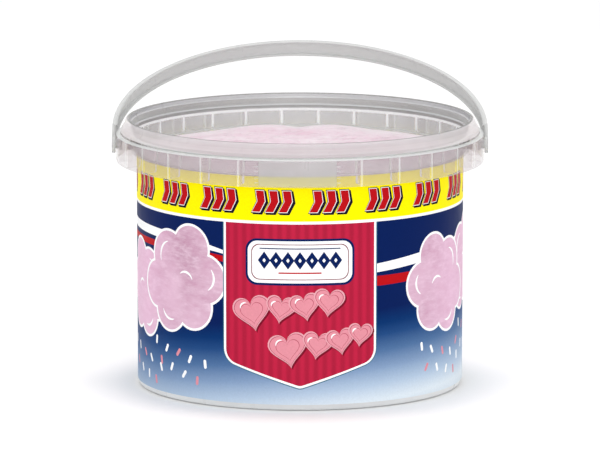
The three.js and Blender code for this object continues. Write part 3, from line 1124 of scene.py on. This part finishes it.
def handle_eye(sizes, side):
    """Flat end of the handle round its pivot."""
    half, eye, reach, thickness = sizes.handle_width / 2, 5.5 * MM, 18 * MM, 2.2 * MM
    meet = math.acos(half / eye)
    outline = [(half, reach), (-half, reach)]
    steps = 32
    for i in range(steps + 1):
        angle = math.pi - meet + (math.pi + 2 * meet) * i / steps
        outline.append((eye * math.cos(angle), eye * math.sin(angle)))
    middle = sizes.handle_radius - thickness / 2
    plate = slab(outline, thickness, 0.4 * MM)
    return moved(plate, lambda v: Vector((side * (middle + v.z), side * v.x, v.y)))


def build_handle(sizes, colours):
    materials = [
        # The lips are lighter and denser than the web: thicker plastic at the edges, and a painted highlight
        # along them.
        milky_plastic("handle_web", colours.handle, 0.5, 1.2),
        milky_plastic("handle_lips", colours.lips, 0.66, 1.3),
    ]
    lean = lean_back(sizes)
    verts, faces, lips = handle_strap(sizes)
    strap = make_piece("bail_handle", *moved((verts, faces), lean), materials, lips)
    extras = []
    head_outside = sizes.skirt_radius - 1.8 * MM
    for side in (-1, 1):
        extras.append(moved(handle_eye(sizes, side), lean))
        extras.append(pivot_pin(PIN, head_outside - 0.5 * MM, sizes.handle_radius - 1 * MM, side))
        extras.append(pivot_pin(PIN_HEAD, head_outside - 1.7 * MM, head_outside, side))
    fused(strap, [make_piece("extra", *extra, materials) for extra in extras])
    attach(strap, "handle")
    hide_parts("handle")


# ------------------------------------------------------------------ stage

LENS = 460.0
CAMERA_DISTANCE = 4.7
CAMERA_RISE = 9.4
AIM_HEIGHT = 97.1 * MM
LIT_SPOT = Vector((0, 0, 80 * MM))
FLOOR_HALF = 14.0
FLOOR_DROP = 0.2 * MM  # keeps the floor off the base


def area_light(name, spot, size, power):
    """Round white light that shines on the tub from a spot."""
    light = bpy.data.lights.new(name, "AREA")
    light.shape = "DISK"
    light.size = size
    light.energy = power
    lamp = bpy.data.objects.new(name, light)
    lamp.location = spot
    lamp.rotation_euler = (LIT_SPOT - Vector(spot)).to_track_quat("-Z", "Y").to_euler()
    bpy.context.scene.collection.objects.link(lamp)


def build_stage():
    scene = bpy.context.scene
    camera = bpy.data.objects.new("camera", bpy.data.cameras.new("camera"))
    rise = math.radians(CAMERA_RISE)
    camera.data.lens = LENS
    camera.data.sensor_width = 36.0
    camera.data.clip_start, camera.data.clip_end = 0.1, 60.0
    back = Vector((0, -math.cos(rise), math.sin(rise))) * CAMERA_DISTANCE
    camera.location = Vector((0, 0, AIM_HEIGHT)) + back
    camera.rotation_euler = (math.pi / 2 - rise, 0, 0)
    scene.collection.objects.link(camera)
    scene.camera = camera

    material, tree = new_material("pale_floor")
    speck = grain(tree, 4.0, 2.0)
    finish_material(material, tree, {
        "Base Color": ramp(tree, speck, [(0.3, (0.94, 0.94, 0.94)), (0.7, (0.96, 0.96, 0.96))]),
        "Roughness": 0.9,
        "Specular IOR Level": 0.1,
    })
    corners = [(x * FLOOR_HALF, y * FLOOR_HALF, 0) for x, y in ((-1, -1), (1, -1), (1, 1), (-1, 1))]
    floor = make_piece("floor", corners, [(0, 1, 2, 3)], [material])
    floor.location.z = -FLOOR_DROP

    world = bpy.data.worlds.new("studio")
    world.use_nodes = True
    tree = world.node_tree
    way = node(tree, "TexCoord").outputs["Generated"]
    up = node(tree, "SeparateXYZ", {"Vector": way}).outputs["Z"]
    sky = spread(tree, up, 0.0, 1.0, 0.9, 0.84)
    tree.links.new(sky, tree.nodes["Background"].inputs["Strength"])
    tree.nodes["Background"].inputs["Color"].default_value = (1, 1, 1, 1)
    scene.world = world
    area_light("top_key", (0.0, 0.18, 3.0), 0.75, 30)
    area_light("front_fill", (0.3, -4.2, 0.7), 2.4, 50)
    scene.view_settings.view_transform = "Standard"
    scene.view_settings.look = "None"


# ------------------------------------------------------------------ operators

def settings(context):
    """The sizes and colours that the pieces are made to."""
    return context.scene.candy_tub_sizes, context.scene.candy_tub_colours


class CANDYTUB_OT_stage(bpy.types.Operator):
    """Set up the floor, the lights and the camera"""

    bl_idname = "candytub.stage"
    bl_label = "Stage"

    def execute(self, context):
        build_stage()
        return {"FINISHED"}


class CANDYTUB_OT_tub(bpy.types.Operator):
    """Make the milky tub with its collar, ribs and tear-off panel"""

    bl_idname = "candytub.tub"
    bl_label = "Tub"

    def execute(self, context):
        build_tub(*settings(context))
        return {"FINISHED"}


class CANDYTUB_OT_label(bpy.types.Operator):
    """Make the printed label film"""

    bl_idname = "candytub.label"
    bl_label = "Label"

    def execute(self, context):
        build_label(*settings(context))
        return {"FINISHED"}


class CANDYTUB_OT_candy(bpy.types.Operator):
    """Make the cotton candy and its loose threads"""

    bl_idname = "candytub.candy"
    bl_label = "Cotton candy"

    def execute(self, context):
        build_candy(*settings(context))
        return {"FINISHED"}


class CANDYTUB_OT_handle(bpy.types.Operator):
    """Make the bail handle with its pins"""

    bl_idname = "candytub.handle"
    bl_label = "Handle"

    def execute(self, context):
        build_handle(*settings(context))
        return {"FINISHED"}


OPERATORS = (CANDYTUB_OT_stage, CANDYTUB_OT_tub, CANDYTUB_OT_label, CANDYTUB_OT_candy, CANDYTUB_OT_handle)


class CANDYTUB_PT_panel(bpy.types.Panel):
    """Pieces, sizes and colours of the candy tub"""

    bl_idname = "CANDYTUB_PT_panel"
    bl_label = "Cotton Candy Tub"
    bl_space_type = "VIEW_3D"
    bl_region_type = "UI"
    bl_category = "Candy Tub"

    def draw(self, context):
        for operator in OPERATORS:
            self.layout.operator(operator.bl_idname)
        for group in settings(context):
            box = self.layout.box()
            for name in group.__annotations__:
                box.prop(group, name)


CLASSES = (CandyTubSizes, CandyTubColours, *OPERATORS, CANDYTUB_PT_panel)


def register():
    for cls in CLASSES:
        bpy.utils.register_class(cls)
    bpy.types.Scene.candy_tub_sizes = PointerProperty(type=CandyTubSizes)
    bpy.types.Scene.candy_tub_colours = PointerProperty(type=CandyTubColours)


def unregister():
    del bpy.types.Scene.candy_tub_colours
    del bpy.types.Scene.candy_tub_sizes
    for cls in reversed(CLASSES):
        bpy.utils.unregister_class(cls)


def main():
    register()
    bpy.ops.candytub.stage()
    bpy.ops.candytub.tub()
    bpy.ops.candytub.label()
    bpy.ops.candytub.candy()
    bpy.ops.candytub.handle()


if __name__ == "__main__":
    main()
